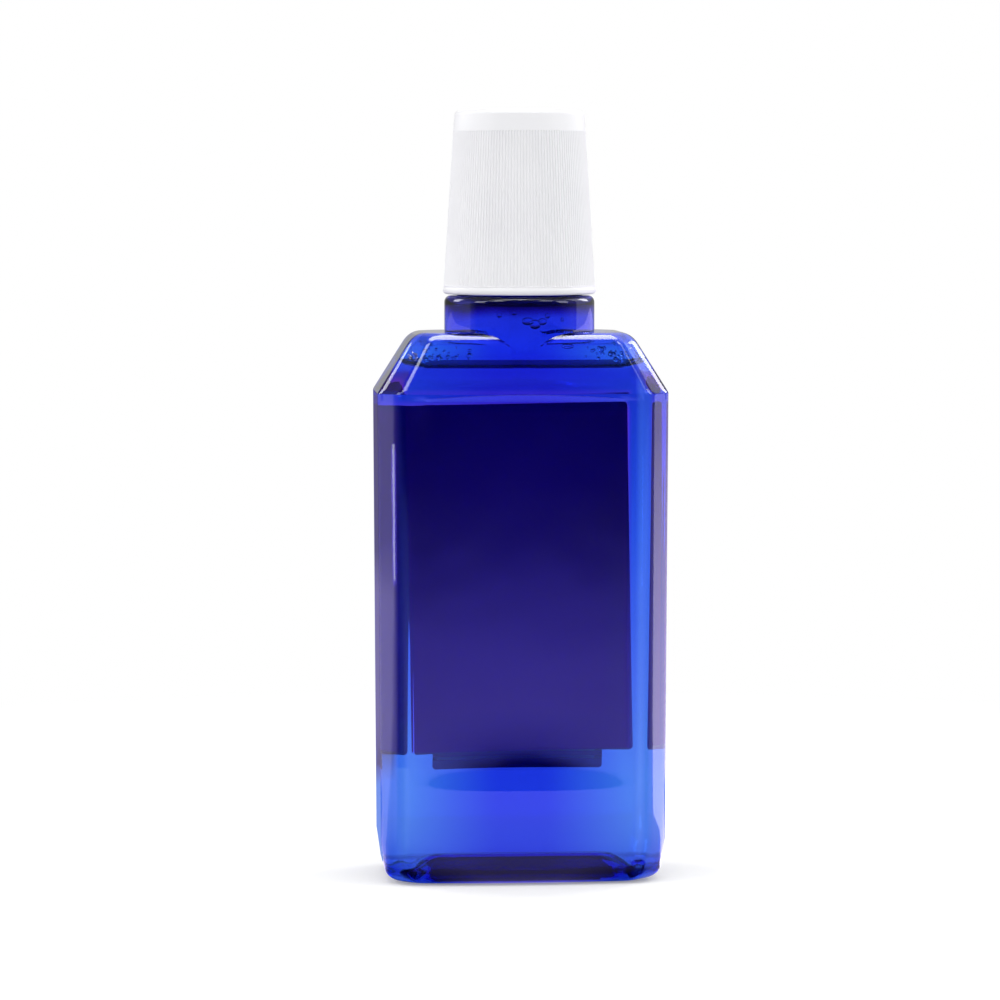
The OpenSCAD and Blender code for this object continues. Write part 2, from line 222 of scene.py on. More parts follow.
def body_outline(name, half, z):
    """The outline as one face: a plane whose corners are cut a little crowned and rounded, its long sides bowed."""
    edge_y = half[1] - (half[0] - CHAMFER) ** 2 / (2 * BOW_R)
    leave_edit()
    bpy.ops.mesh.primitive_plane_add(size=1, location=(0, 0, z * MM))
    bpy.context.object.scale = (2 * half[0] * MM, 2 * edge_y * MM, 1)
    piece = begin(name)
    bpy.ops.mesh.select_all(action="SELECT")
    bpy.ops.mesh.bevel(offset=CHAMFER * MM, segments=CHAMFER_FACETS, profile=CHAMFER_CROWN, affect="VERTICES")
    bpy.ops.mesh.select_all(action="SELECT")
    bpy.ops.mesh.delete(type="ONLY_FACE")
    pick("EDGE", lambda p: abs(p.x) < 1 and abs(p.y) > edge_y - 0.1)
    bpy.ops.mesh.subdivide(number_cuts=COLUMNS - 1)
    reach = half[0] - CHAMFER
    for i in range(COLUMNS // 2):
        x = reach * 2 * i / COLUMNS
        pick("VERT", lambda p: abs(abs(p.x) - x) < 0.05 and abs(p.y) > edge_y - 0.1)
        scale(1, (half[1] - x * x / (2 * BOW_R)) / edge_y, 1)
    pick("VERT", lambda p: reach - 0.01 < abs(p.x) and (abs(abs(p.x) - reach) < 0.01 or abs(p.x) > half[0] - 0.01))
    bpy.ops.mesh.bevel(offset=EDGE_SOFT * MM, segments=EDGE_FACETS, profile=EDGE_FULLNESS, affect="VERTICES")
    bpy.ops.mesh.select_all(action="SELECT")
    bpy.ops.mesh.edge_face_add()
    return piece


def body_stations(inset, up, down):
    """Rings from the ridge of the push-up to the flat top, drawn in by inset, up from the base, down from the top."""
    rings = []
    steps = 10
    stand = HEEL_TAPER + HEEL_REACH + STAND_W - inset
    for i in range(steps + 1):
        t = 1 - i / steps
        arch = math.sin(math.pi / 2 * t)
        rings.append((BASE_HALF[0] - stand - PUSH_RUN_X * t, BASE_HALF[1] - stand - PUSH_RUN_Y * arch,
                      up + PUSH_H * arch))
    for i in range(steps + 1):
        t = math.pi / 2 * (1 - i / steps)
        d = HEEL_TAPER + HEEL_REACH * (1 - math.cos(t)) + inset
        rings.append((BASE_HALF[0] - d, BASE_HALF[1] - d, up + HEEL_R * (1 - math.sin(t))))
    for z in (HEEL_H, *WALL_RINGS, PANEL_HIGH):
        a = BASE_HALF[0] + (CORNER_HALF[0] - BASE_HALF[0]) * z / CORNER_H - inset
        rings.append((a, CORNER_HALF[1] - inset, z))
    low = (CORNER_HALF[0] - inset, CORNER_HALF[1] - inset, CORNER_H)
    high = (TOP_HALF[0] - inset, TOP_HALF[1] - inset, CORNER_H + SHOULDER_H - down)
    under = (low[0], low[1], CORNER_H - CORNER_ROUND * 0.2)
    inner = (high[0] - TOP_ROUND, high[1] - TOP_ROUND, high[2])

    def mix(p, q, t):
        return tuple(a + (b - a) * t for a, b in zip(p, q))

    def bend(p, q, r, count):
        return [mix(mix(p, q, i / count), mix(q, r, i / count), i / count) for i in range(count + 1)]

    rings += bend(under, low, mix(low, high, CORNER_ROUND / SHOULDER_H), 4)
    rings += bend(mix(high, low, TOP_ROUND / SHOULDER_H), high, inner, 8)
    return rings


def body_solid(name, inset, up, down):
    """The body as a solid: the outline drawn up through its rings, then the two flat label panels pressed in."""
    outline = body_outline(name, CORNER_HALF, 0)
    rings = body_stations(inset, up, down)
    first = rings[0]
    bpy.ops.mesh.select_all(action="SELECT")
    scale(first[0] / CORNER_HALF[0], first[1] / CORNER_HALF[1], 1)
    shift(z=first[2])
    pull_up(rings)
    face_outwards()
    flat = PANEL_Y - inset
    crown = CORNER_HALF[1] - inset
    for side in (-1, 1):
        for z_crown, z_flat in ((PANEL_LOW - LEDGE_LOW, PANEL_LOW), (PANEL_HIGH + LEDGE_HIGH, PANEL_HIGH)):
            low, high = sorted((z_crown, z_flat))
            pick("FACE", lambda p: p.y * side > flat - 0.5 and low - 1 < p.z < high + 1 and abs(p.x) < PANEL_REACH)
            slope = (z_flat - z_crown) / (crown - flat)
            bpy.ops.mesh.bisect(plane_co=(0, side * crown * MM, z_crown * MM), plane_no=(0, slope * side, 1))
        pick("FACE", lambda p: p.y * side > flat - 0.5 and PANEL_LOW < p.z < PANEL_HIGH and abs(p.x) < PANEL_REACH)
        bpy.ops.mesh.bisect(plane_co=(0, side * flat * MM, 0), plane_no=(0, 1, 0))
    for side in (-1, 1):
        pick("VERT", lambda p: p.y * side > flat and PANEL_LOW - 0.01 < p.z < PANEL_HIGH + 0.01)
        scale(1, 0, 1, about=(0, side * flat, 0))
    face_outwards()
    leave_edit()
    return outline


# ---------------------------------------------------------------- collar, neck and its thread

def round_solid(name, rings, sides):
    """A round solid drawn up from a circle through rings of radius and height."""
    leave_edit()
    bpy.ops.mesh.primitive_circle_add(vertices=sides, radius=rings[0][0] * MM, fill_type="NGON",
                                      location=(0, 0, rings[0][2] * MM))
    piece = begin(name)
    bpy.ops.mesh.select_all(action="SELECT")
    pull_up(rings)
    face_outwards()
    leave_edit()
    return piece


def ring(r, z):
    return (r, r, z)


def neck_solid():
    rings = [ring(COLLAR_R, COLLAR_FOOT), ring(COLLAR_R, COLLAR_STRAIGHT)]
    rings += arc(COLLAR_R, COLLAR_TOP, COLLAR_ROUND, 8)
    for out, up in ((NECK_FILLET, 0), (NECK_FILLET * 0.3, NECK_FILLET * 0.3), (0, NECK_FILLET)):
        rings.append(ring(NECK_R + out, COLLAR_TOP + up))
    rings += arc(NECK_R, LIP_H, LIP_R, 5)
    return round_solid("neck", rings, SIDES)


def neck_space():
    inside = COLLAR_R - WALL
    rings = [ring(inside, COLLAR_SPACE_LOW)] + arc(inside, COLLAR_TOP - WALL, COLLAR_ROUND, 8)
    rings += [ring(BORE_R + 0.3, COLLAR_TOP - WALL), ring(BORE_R, COLLAR_TOP - WALL + 0.4), ring(BORE_R, LIP_H + 0.5)]
    return round_solid("neck_space", rings, SIDES)


def wound_thread(name, base_r, crest_r, root_w, crest_w, turns, low, start):
    """A trapezoid edge wound up around the axis, with ends that run out into the wall."""
    leave_edit()
    bpy.ops.mesh.primitive_plane_add(size=1)
    depth = abs(crest_r - base_r)
    middle = (base_r + crest_r) / 2
    bpy.context.object.rotation_euler = (math.pi / 2, 0, 0)
    bpy.context.object.scale = (depth * MM, root_w * MM, 1)
    bpy.context.object.location = (middle * MM, 0, low * MM)
    piece = begin(name)
    outward = 1 if crest_r > base_r else -1
    pick("VERT", lambda p: (p.x - middle) * outward > 0)
    scale(1, 1, crest_w / root_w, about=(0, 0, low))
    bpy.ops.mesh.select_all(action="SELECT")
    bpy.ops.mesh.delete(type="ONLY_FACE")
    steps = 72
    apply_modifier(piece, "SCREW", angle=2 * math.pi * turns, screw_offset=THREAD_LEAD * turns * MM,
                   steps=int(steps * turns), render_steps=int(steps * turns), use_smooth_shade=True)
    reopen(piece)
    fade = 12
    root = base_r + (crest_r - base_r) * 0.45
    for i in range(fade):
        height = THREAD_LEAD * i / steps
        reach = (root + (crest_r - root) * i / fade) / crest_r
        for mid, turn in ((low + height, i / steps), (low + THREAD_LEAD * turns - height, turns - i / steps)):
            angle = 2 * math.pi * turn
            spot = (math.cos(angle), math.sin(angle))
            pick("VERT", lambda p: abs(math.hypot(p.x, p.y) - crest_r) < 0.02
                 and p.x * spot[0] + p.y * spot[1] > 0.9995 * math.hypot(p.x, p.y)
                 and abs(p.z - mid) < THREAD_LEAD / 2)
            scale(reach, reach, 1)
    for turn in (0, turns):
        angle = 2 * math.pi * turn
        height = low + THREAD_LEAD * turn
        spot = (math.cos(angle), math.sin(angle))
        pick("VERT", lambda p: p.x * spot[0] + p.y * spot[1] > 0.99999 * math.hypot(p.x, p.y)
             and abs(p.z - height) < THREAD_LEAD / 2)
        bpy.ops.mesh.edge_face_add()
    face_outwards()
    bpy.ops.mesh.select_all(action="SELECT")
    bpy.ops.transform.rotate(value=math.radians(start), orient_axis="Z", center_override=(0, 0, 0))
    leave_edit()
    return piece


def soften_collar_joint(shell):
    """Rounds the crease in which the collar meets the shoulder, where that crease is sharp."""
    reopen(shell)
    bpy.ops.mesh.select_mode(type="EDGE")
    bpy.ops.mesh.select_all(action="DESELECT")
    mesh = bmesh.from_edit_mesh(shell.data)
    for edge in mesh.edges:
        a, b = (v.co / MM for v in edge.verts)
        on_collar = all(abs(math.hypot(p.x, p.y) - COLLAR_R) < 0.03 and p.z < COLLAR_CREASE_TOP for p in (a, b))
        level = abs(a.z - b.z) < 0.9 * (a - b).length
        if on_collar and level and len(edge.link_faces) == 2 and edge.calc_face_angle() > COLLAR_CREASE:
            edge.select_set(True)
    bmesh.update_edit_mesh(shell.data)
    bpy.ops.mesh.bevel(offset=COLLAR_FILLET * MM, segments=5, affect="EDGES", clamp_overlap=True)
    leave_edit()


def blown_bottle():
    shell = body_solid("bottle_shell", 0, 0, 0)
    combine(shell, neck_solid(), "UNION")
    soften_collar_joint(shell)
    thread = wound_thread("neck_thread", NECK_R - THREAD_SUNK, NECK_R + THREAD_DEPTH, THREAD_ROOT_W, THREAD_CREST_W,
                          THREAD_TURNS, THREAD_LOW, 0)
    combine(shell, thread, "UNION")
    combine(shell, body_solid("body_space", WALL, BASE_WALL, WALL), "DIFFERENCE")
    combine(shell, neck_space(), "DIFFERENCE")
    smooth(shell, SHARP_SHELL)
    even_normals(shell)
    return shell


# ---------------------------------------------------------------- liquid

LIQUID_LAP = 0.1
CLIMB = 2.3
CLIMB_STEPS = ((0.2, 0.6), (0.3, 0.5), (0.45, 0.45), (0.65, 0.35), (0.9, 0.25), (1.2, 0.15))


def poured_liquid():
    """The space in the body cut off at the level, its surface drawn up a little where it meets the wall."""
    inset = WALL - LIQUID_LAP
    liquid = body_solid("liquid_fill", inset, BASE_WALL - LIQUID_LAP, inset)
    reopen(liquid)
    bpy.ops.mesh.select_all(action="SELECT")
    bpy.ops.mesh.bisect(plane_co=(0, 0, (FILL_H + CLIMB) * MM), plane_no=(0, 0, 1), use_fill=True, clear_outer=True)
    pick("FACE", lambda p: p.z > FILL_H + CLIMB - 0.01)
    for step, drop in CLIMB_STEPS:
        bpy.ops.mesh.inset(thickness=step * MM, depth=0)
        shift(z=-drop)
    leave_edit()
    smooth(liquid, SHARP_SHELL)
    even_normals(liquid)
    return liquid


# ---------------------------------------------------------------- labels

LABEL_SUNK = 0.04
STICKER_SUNK = 0.02


def stuck_label():
    """A thin sheet with rounded corners, a little askew, pressed against the back panel."""
    low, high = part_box("main_label")
    middle = (low + high) / 2 / MM
    middle.x = LABEL_X
    middle.z = LABEL_LOW + LABEL_H / 2
    thick = (high.y - low.y) / MM
    leave_edit()
    bpy.ops.mesh.primitive_cube_add(size=1, location=middle * MM)
    bpy.context.object.scale = (LABEL_W * MM, thick * MM, LABEL_H * MM)
    label = begin("main_label_sheet")
    pick("EDGE", lambda p: abs(p.x - middle.x) > LABEL_W / 2 - 0.01 and abs(p.z - middle.z) > LABEL_H / 2 - 0.01)
    bpy.ops.mesh.bevel(offset=LABEL_CORNER * MM, segments=8, affect="EDGES")
    pick("VERT", lambda p: p.y < middle.y)
    shift(y=-LABEL_SUNK)
    bpy.ops.mesh.select_all(action="SELECT")
    bpy.ops.transform.rotate(value=math.radians(LABEL_TILT), orient_axis="Y", center_override=middle * MM)
    face_outwards()
    leave_edit()
    smooth(label, SHARP_SHEET)
    return label


def stuck_sticker():
    """A strip drawn down over the label's edge, the panel and the ledge below, then given its thickness."""
    low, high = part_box("lower_sticker")
    top, foot = high.z / MM, low.z / MM - STICKER_DROP
    half = STICKER_W / 2
    step = LABEL_LOW - LABEL_W / 2 * LABEL_LEAN
    line = [(PANEL_Y + 0.12, top), (PANEL_Y + 0.12, step), (PANEL_Y + 0.02, step - 0.3),
            (PANEL_Y - STICKER_SUNK, step - 0.6), (PANEL_Y - STICKER_SUNK, PANEL_LOW + 0.3),
            (PANEL_Y + (PANEL_LOW - foot) * PANEL_DEPTH / LEDGE_LOW - STICKER_SUNK, foot)]
    leave_edit()
    bpy.ops.mesh.primitive_plane_add(size=1)
    bpy.context.object.rotation_euler = (math.pi / 2, 0, 0)
    bpy.context.object.scale = (STICKER_W * MM, (top - step) * MM, 1)
    bpy.context.object.location = (STICKER_X * MM, line[0][0] * MM, (top + step) / 2 * MM)
    sticker = begin("lower_sticker_sheet")
    pick("EDGE", lambda p: abs(p.z - step) < 0.01)
    for (y0, z0), (y1, z1) in zip(line[1:], line[2:]):
        bpy.ops.mesh.extrude_edges_move(TRANSFORM_OT_translate={"value": (0, (y1 - y0) * MM, (z1 - z0) * MM)})
    bpy.ops.mesh.select_all(action="SELECT")
    bpy.ops.mesh.normals_make_consistent(inside=False)
    mesh = bmesh.from_edit_mesh(sticker.data)
    mesh.faces.ensure_lookup_table()
    if mesh.faces[0].normal.y < 0:
        bpy.ops.mesh.flip_normals()
    pick("VERT", lambda p: abs(p.x - STICKER_X) > half - 0.01 and (p.z > top - 0.01 or p.z < foot + 0.01))
    bpy.ops.mesh.bevel(offset=STICKER_CORNER * MM, segments=6, affect="VERTICES")
    apply_modifier(sticker, "SOLIDIFY", thickness=STICKER_THICK * MM, offset=1)
    smooth(sticker, SHARP_SHEET)
    return sticker


# ---------------------------------------------------------------- bubbles and drops

def blob(x, y, z, r, flat=1.0, wide=1.0, turn=0.0):
    """One small bubble or drop: a ball pressed flat against the wall beside it."""
    leave_edit()
    bpy.ops.mesh.primitive_uv_sphere_add(segments=14, ring_count=8, radius=r * MM,
                                         location=(x * MM, y * MM, z * MM), rotation=(0, 0, turn))
    bpy.context.object.scale = (wide, flat, 1)
    made = begin("blob")
    leave_edit()
    smooth(made, 60)
    return made


def joined(name, parts):
    leave_edit()
    for part in parts:
        part.select_set(True)
    bpy.context.view_layer.objects.active = parts[0]
    bpy.ops.object.join()
    parts[0].name = parts[0].data.name = name
    return parts[0]


BUBBLES = 76
BUBBLES_NEAR, BUBBLES_SPREAD, BUBBLES_H = 12.5, 13.5, 2.8
SHOULDER_Y, SHOULDER_SLOPE = 18.55, 0.245
CORNER_X, CORNER_SLOPE = 24.2, 0.9
COLLAR_DROPS = (
    (0.6, 127.6, 0.9, 1.5), (2.2, 126.9, 1.1, 1.2), (3.9, 127.5, 0.8, 1.3), (5.0, 128.8, 0.6, 1.0),
    (-5.6, 128.9, 0.5, 1.2), (-2.4, 129.4, 0.45, 1.4), (8.4, 127.9, 0.5, 0.9))
SHOULDER_DROPS = ((9.6, 121.9, 0.6, 2.4), (-12.5, 121.0, 0.35, 1.4), (15.2, 120.9, 0.4, 1.2))


def shoulder_wall(x, z):
    """Where the inside of the front of the shoulder is, in y."""
    return -(SHOULDER_Y - x * x / (2 * BOW_R) - SHOULDER_SLOPE * (z - CORNER_H))


def level_bubbles():
    """Small bubbles that cling to the wall along the level, thickest towards the corners."""
    parts = []
    for i in range(BUBBLES):
        swing = math.sin(i * 12.9898) * 43758.5453 % 1
        other = math.sin(i * 78.233 + 1.7) * 9631.77 % 1
        third = math.sin(i * 39.425 + 4.1) * 5317.31 % 1
        side = -1 if i % 5 < 3 else 1
        x = side * (BUBBLES_NEAR + BUBBLES_SPREAD * swing ** 0.6)
        z = FILL_H + CLIMB + BUBBLES_H * other ** 1.5
        y = shoulder_wall(x, z)
        if abs(x) > CORNER_X:
            y += (abs(x) - CORNER_X) * CORNER_SLOPE
        parts.append(blob(x, y, z, 0.22 + 0.5 * third ** 2, 0.75))
    return joined("level_bubbles", parts)


def wall_drops():
    """Flat drops of liquid that hang on the inside of the collar and shoulder."""
    parts = []
    for x, z, r, wide in COLLAR_DROPS:
        parts.append(blob(x, -math.sqrt((COLLAR_R - WALL) ** 2 - x * x), z, r, 0.3, wide, math.asin(x / COLLAR_R)))
    for x, z, r, wide in SHOULDER_DROPS:
        parts.append(blob(x, shoulder_wall(x, z), z, r, 0.35, wide))
    return joined("wall_drops", parts)


# ---------------------------------------------------------------- cap and liner

def cap_radius(z):
    return SKIRT_R + (CROWN_R - SKIRT_R) * (z - CAP_LOW - CAP_RIM_H) / (CAP_TOP - CAP_LOW - CAP_RIM_H)


def moulded_cap():
    """The cap drawn in rings from the middle of its top, down to the rim and up inside, its grooves pressed in."""
    sides = RIBS * 4
    skirt = CAP_LOW + CAP_RIM_H
    outside = [ring(CAP_MIDDLE_R, CAP_TOP)]
    for i in range(7):
        t = math.pi / 2 * i / 6
        outside.append(ring(CROWN_R - CROWN_ROUND * (1 - math.sin(t)), CAP_TOP - CROWN_ROUND * (1 - math.cos(t))))
    ribs_high = [PLAIN_LOW + 0.05, PLAIN_LOW - 0.25]
    ribs_low = [skirt + 0.35, skirt + 0.02]
    outside += [ring(cap_radius(z), z) for z in ribs_high + [160, 148] + ribs_low]
    round_r = CAP_RIM_H / 2
    for i in range(2, 9):
        t = math.pi * i / 8
        outside.append(ring(CAP_RIM_R - round_r * (1 - math.sin(t)), skirt - round_r * (1 - math.cos(t))))
    inside = [ring(CAP_MOUTH_R, CAP_LOW), ring(CAP_INSIDE_R, CAP_LOW + 0.3), ring(CAP_INSIDE_R, CUP_LOW),
              ring(CUP_R, CUP_LOW), ring(CUP_TOP_R, CUP_TOP - CUP_ROUND)]
    for i in range(1, 5):
        t = math.pi / 2 * i / 4
        inside.append(ring(CUP_TOP_R - 0.05 - CUP_ROUND * (1 - math.cos(t)), CUP_TOP - CUP_ROUND * (1 - math.sin(t))))
    inside.append(ring(CAP_MIDDLE_R, CUP_TOP))
    cap = round_solid("dosing_cap", outside + inside, sides)
    reopen(cap)
    pitch = 2 * math.pi / RIBS

    def in_groove(p):
        if not (skirt + 0.1 < p.z < PLAIN_LOW and math.hypot(p.x, p.y) > cap_radius(p.z) - 0.05):
            return False
        share = (math.atan2(p.y, p.x) / pitch + 0.125) % 1
        return share > 0.5

    pick("VERT", in_groove)
    pressed = 1 - RIB_DEPTH / 16
    scale(pressed, pressed, 1)
    leave_edit()
    smooth(cap, SHARP_CAP)
    thread = wound_thread("cap_thread", CAP_THREAD_R, CAP_CREST_R, CAP_ROOT_W, CAP_CREST_W, CAP_TURNS,
                          CAP_THREAD_LOW, -90)
    leave_edit()
    thread.select_set(True)
    cap.select_set(True)
    bpy.context.view_layer.objects.active = cap
    bpy.ops.object.join()
    return cap


def foam_liner():
    """A flat foam ring with softened edges."""
    low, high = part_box("cap_liner")
    outer, inner = high.x / MM, LINER_BORE_R
    leave_edit()
    bpy.ops.mesh.primitive_circle_add(vertices=96, radius=inner * MM, location=(0, 0, low.z))
    liner = begin("foam_liner")
    thick = (high.z - low.z) / MM
    bpy.ops.mesh.select_all(action="SELECT")
    bpy.ops.mesh.extrude_edges_move()
    scale(outer / inner, outer / inner, 1)
    bpy.ops.mesh.extrude_edges_move(TRANSFORM_OT_translate={"value": (0, 0, thick * MM)})
    bpy.ops.mesh.extrude_edges_move()
    scale(inner / outer, inner / outer, 1)
    pick("EDGE", lambda p: math.hypot(p.x, p.y) < inner + 0.1)
    bpy.ops.mesh.bridge_edge_loops()
    face_outwards()
    leave_edit()
    apply_modifier(liner, "BEVEL", width=LINER_ROUND * MM, segments=3, limit_method="ANGLE",
                   angle_limit=math.radians(60))
    smooth(liner, 40)
    return liner


# ---------------------------------------------------------------- materials

class Value:
    """One output of a node. Arithmetic on it adds Math nodes."""

    def __init__(self, paint, socket):
        self.paint, self.socket = paint, socket

    def maths(self, operation, *values):
        return self.paint.node("ShaderNodeMath", {"operation": operation}, dict(enumerate(values)))

    def __add__(self, other):
        return self.maths("ADD", self, other)

    def __sub__(self, other):
        return self.maths("SUBTRACT", self, other)

    def __rsub__(self, other):
        return self.maths("SUBTRACT", other, self)

    def __mul__(self, other):
        return self.maths("MULTIPLY", self, other)

    def __truediv__(self, other):
        return self.maths("DIVIDE", self, other)

    def __gt__(self, other):
        return self.maths("GREATER_THAN", self, other)

    def __lt__(self, other):
        return self.maths("LESS_THAN", self, other)

    def __neg__(self):
        return self.maths("MULTIPLY", self, -1.0)

    def __abs__(self):
        return self.maths("ABSOLUTE", self)

    def clamped(self):
        made = self.maths("ADD", self, 0.0)
        made.socket.node.use_clamp = True
        return made

    __radd__ = __add__
    __rmul__ = __mul__


class Paint:
    """The nodes of one material, or of the world."""

    def __init__(self, owner):
        owner.use_nodes = True
        self.owner, self.tree = owner, owner.node_tree
        self.tree.nodes.clear()

    def node(self, kind, settings=None, sockets=None, out=0):
        made = self.tree.nodes.new(kind)
        for key, value in (settings or {}).items():
            if key == "stops":
                elements = made.color_ramp.elements
                while len(elements) < len(value):
                    elements.new(1)
                for element, (place, colour) in zip(elements, value):
                    element.position, element.color = place, colour
            else:
                setattr(made, key, value)
        for key, value in (sockets or {}).items():
            if isinstance(value, Value):
                self.tree.links.new(value.socket, made.inputs[key])
            else:
                made.inputs[key].default_value = value
        return Value(self, made.outputs[out])

    def place(self, axis):
        """The place on the piece along one axis, in millimetres."""
        spot = self.node("ShaderNodeTexCoord", out="Object")
        return self.node("ShaderNodeSeparateXYZ", None, {0: spot}, out="XYZ".index(axis)) * (1 / MM)

    def mottle(self, size, detail=3.0, rough=0.5):
        """Noise from 0 to 1 whose patches are about size millimetres."""
        spot = self.node("ShaderNodeTexCoord", out="Object")
        return self.node("ShaderNodeTexNoise", None,
                         {"Vector": spot, "Scale": 1 / (size * MM), "Detail": detail, "Roughness": rough}, out=0)

    def blend(self, share, first, second):
        return self.node("ShaderNodeMix", {"data_type": "RGBA"}, {0: share, 6: first, 7: second}, out=2)

    def bump(self, height, strength, distance):
        return self.node("ShaderNodeBump", None, {"Height": height, "Strength": strength, "Distance": distance * MM})

    def ramp(self, value, stops):
        return self.node("ShaderNodeValToRGB", {"stops": stops}, {0: value})

    def finish(self, kind, shaders):
        """Ends the nodes with the output that takes these shaders."""
        made = self.tree.nodes.new(kind)
        for key, value in shaders.items():
            self.tree.links.new(value.socket, made.inputs[key])
        return self.owner

    def surface(self, sockets, volume=None):
        shaders = {"Surface": self.node("ShaderNodeBsdfPrincipled", None, sockets)}
        if volume:
            shaders["Volume"] = self.node("ShaderNodeVolumeAbsorption", None, volume)
        return self.finish("ShaderNodeOutputMaterial", shaders)

    def ray_kinds(self):
        """1 for rays from the camera, for rays that have passed through a wall, and for mirrored ones."""
        seen = self.node("ShaderNodeLightPath", out="Is Camera Ray")
        through = self.node("ShaderNodeLightPath", out="Is Transmission Ray")
        mirror = self.node("ShaderNodeLightPath", out="Is Glossy Ray") * (1 - through)
        return seen, through, mirror


def material(name):
    return Paint(bpy.data.materials.new(name))


def rise(value, start, run):
    """0 up to the start, then up to 1 over the run."""
    return ((value - start) / run).clamped()


def fall(value, end, run):
    """1 up to the run before the end, then down to 0 at the end."""
    return ((end - value) / run).clamped()


def rgb(r, g, b):
    return (r, g, b, 1.0)


# Seen from the camera, the far label lies behind parts of the front wall that are this much higher than its own
# edges, and this much farther to the left of its left edge and to the left of its right edge, in millimetres
SIGHT_DROP = 3.9
SIGHT_LEFT, SIGHT_RIGHT = 2.0, 2.1

# The wall's tints by height, from the base to the neck: partly the PET's own blue, partly painted light and shade
RAMP_TOP = 150
# Painted shade: the dark stops at 129.8 and 131.0 paint the dark band under the top of the collar
COLLAR_TINTS_AND_PAINTED_SHADE = [(128.2, (0.145, 0.25, 0.88)), (129.8, (0.10, 0.07, 0.50)), (131.0, (0.05, 0.04, 0.12)),
                (133.2, (0.12, 0.16, 0.66))]
MIDDLE_TINTS = [
    (0, (0.15, 0.27, 0.86)), (9, (0.15, 0.34, 0.90)), (18, (0.155, 0.31, 0.915)), (30, (0.16, 0.30, 0.91)),
    (104, (0.14, 0.18, 0.81)), (109.6, (0.14, 0.18, 0.81)), (111.2, (0.175, 0.245, 0.86)), (113, (0.14, 0.175, 0.80)),
    (121, (0.13, 0.262, 0.96))] + COLLAR_TINTS_AND_PAINTED_SHADE
EDGE_TINTS = [
    (0, (0.33, 0.64, 0.93)), (20, (0.35, 0.77, 0.955)), (45, (0.306, 0.617, 0.96)), (78, (0.206, 0.507, 0.955)),
    (103, (0.158, 0.376, 0.885)), (113, (0.15, 0.30, 0.85)), (116.5, (0.15, 0.30, 0.86)), (119.5, (0.27, 0.72, 1.0)),
    (123, (0.27, 0.70, 1.0)), (126, (0.15, 0.30, 0.92))] + COLLAR_TINTS_AND_PAINTED_SHADE


def clear_blue_pet():
    """Blown PET: clear cobalt blue, deeper in the middle of the faces and in the ledges, gently uneven; its tints
    hold painted light and shade.
    """
    p = material("clear_blue_pet")
    uneven = p.mottle(16, 1.5, 0.4)
    x, y, z = p.place("X"), p.place("Y"), p.place("Z")
    height = (z + 4 * uneven - 2) / RAMP_TOP
    middle, edge = (p.ramp(height, [(stop / RAMP_TOP, rgb(*tint)) for stop, tint in tints])
                    for tints in (MIDDLE_TINTS, EDGE_TINTS))
    # Partly painted light: the tint grows paler from the middle of the faces towards their sides
    tint = p.blend(rise(abs(x), 6, 21), middle, edge)
    front = y < 0

    # Painted light: the bent strips beside the front panel are painted paler, as if more light came through them past
    # the label's edges
    bend = fall(abs(abs(x + 0.55) - 27.35), 2, 1.2) * front * ((z < 27) + (x > 0)).clamped()
    tint = p.blend(bend * 0.85, tint, rgb(0.56, 0.92, 0.98))

    # Painted shade: both walls are painted deeper where, seen from the camera, the label lies behind them
    leaned = x + (z - LABEL_LOW - LABEL_H / 2) * LABEL_LEAN
    level = z - x * LABEL_LEAN - front * SIGHT_DROP
    label_left = rise(leaned + front * SIGHT_LEFT, LABEL_X - LABEL_W / 2, 0.5)
    label_right = fall(x + front * SIGHT_RIGHT, 26.3, 0.8)
    label_high = rise(level, LABEL_LOW, 0.5) * fall(z, 109, 2)
    painted_shade_over_label = (label_left * label_right + rise(abs(x), 28, 1.2) * front).clamped() * label_high
    painted_shade_colour = p.blend(front, rgb(1.0, 0.30, 1.0), rgb(0.32, 0.26, 0.96))
    tint = p.blend(painted_shade_over_label, tint, painted_shade_colour)

    # Painted shade: the left chamfer below the label, and the shoulder's slanted chamfers, are painted dimmer
    painted_shade_low_corner = rise(-x, 28.9, 0.8) * front * (1 - label_high) * rise(z, 23.6, 6) * (z < 60)
    tint = p.blend(painted_shade_low_corner * 0.9, tint, rgb(0.27, 0.36, 0.42))
    slant = (abs(x) + 0.524 * (z - CORNER_H) - 27.3).clamped() * front * rise(z, CORNER_H + 0.3, 0.5)
    painted_shade_slants = slant * fall(z - 1.5 * p.mottle(2.5, 3.0), CORNER_H + 4.5, 0.8)
    tint = p.blend(painted_shade_slants * 0.85, tint, rgb(0.30, 0.10, 0.45))
    return p.surface(
        {"Base Color": tint, "Roughness": 0.0, "IOR": 1.57, "Transmission Weight": 1.0,
         "Normal": p.bump(uneven, 0.25, 0.25)},
        {"Color": rgb(0.5, 0.38, 0.97), "Density": 800.0})


def faint_blue_liquid():
    p = material("faint_blue_liquid")
    tint = p.blend(p.mottle(30, 1.0), rgb(0.93, 0.965, 1.0), rgb(0.95, 0.975, 1.0))
    return p.surface({"Base Color": tint, "Roughness": 0.0, "IOR": 1.333, "Transmission Weight": 1.0},
                     {"Color": rgb(0.3, 0.7, 1.0), "Density": 2.0})


def white_polypropylene():
    """Moulded polypropylene: satin white, faintly cool, with a fine moulded grain."""
    p = material("white_polypropylene")
    grain = p.mottle(0.35, 4.0)
    cloud = p.mottle(9, 2.0)
    tint = p.blend(cloud, rgb(0.80, 0.80, 0.825), rgb(0.84, 0.84, 0.86))
    return p.surface({"Base Color": tint, "Roughness": 0.36 + 0.12 * p.mottle(3, 3.0), "IOR": 1.49,
                      "Normal": p.bump(grain, 0.15, 0.05)})


